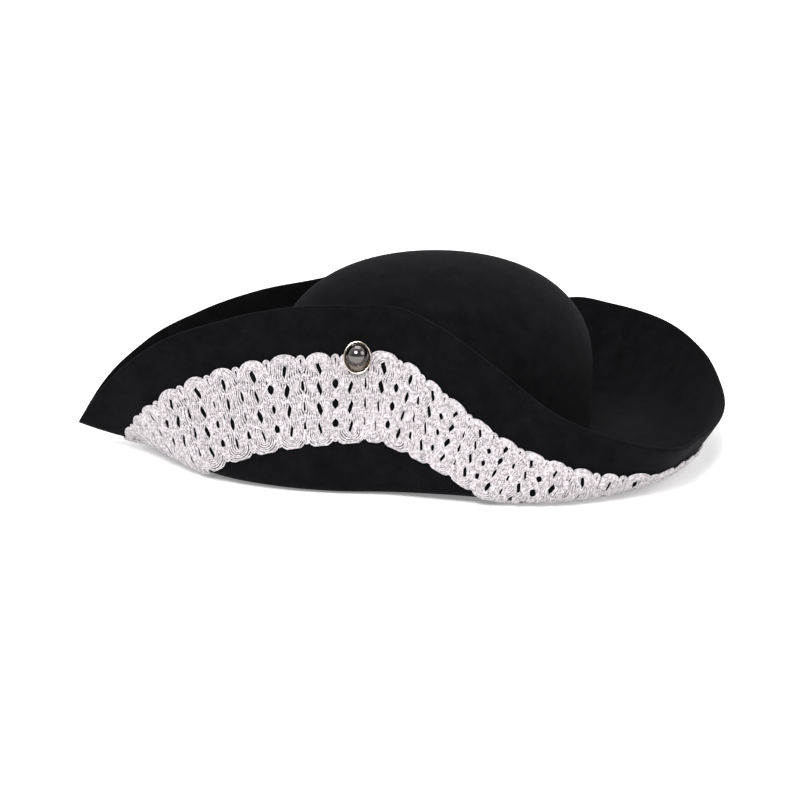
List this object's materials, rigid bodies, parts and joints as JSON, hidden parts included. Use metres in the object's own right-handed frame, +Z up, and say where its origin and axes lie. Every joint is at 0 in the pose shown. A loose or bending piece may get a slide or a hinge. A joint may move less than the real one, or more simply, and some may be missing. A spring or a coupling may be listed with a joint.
{
  "type": "pirate hat",
  "caption": "Tricorn costume hat in felt with a domed crown, side flaps studded up to it, an open back flap and a lace braid round the brim.",
  "frame": {"origin": "centre of the oval head opening, in the plane the hat rests on", "axes": "+X towards the rounded back flap, -X towards the sharp front corner, +Z up through the crown, -Y towards the flap with the shown stud"},
  "size_m": [0.4241, 0.3058, 0.124],
  "materials": {
    "felt": "matte black pressed felt",
    "braid": "silvery off-white lace braid",
    "sweatband": "black woven sweatband",
    "thread": "black sewing thread",
    "stud": "dark polished nickel",
    "collar": "polished nickel",
    "post": "plain steel"
  },
  "bodies": {
    "root": {"felt_crown": "felt", "felt_flap_near": "felt", "felt_flap_back": "felt", "felt_flap_far": "felt", "braid": "braid", "sweatband": "sweatband", "sweatband_stitches": "thread", "stud_heads": "stud", "stud_collars": "collar", "stud_posts": "post", "stud_washers": "collar"}
  },
  "joints": []
}
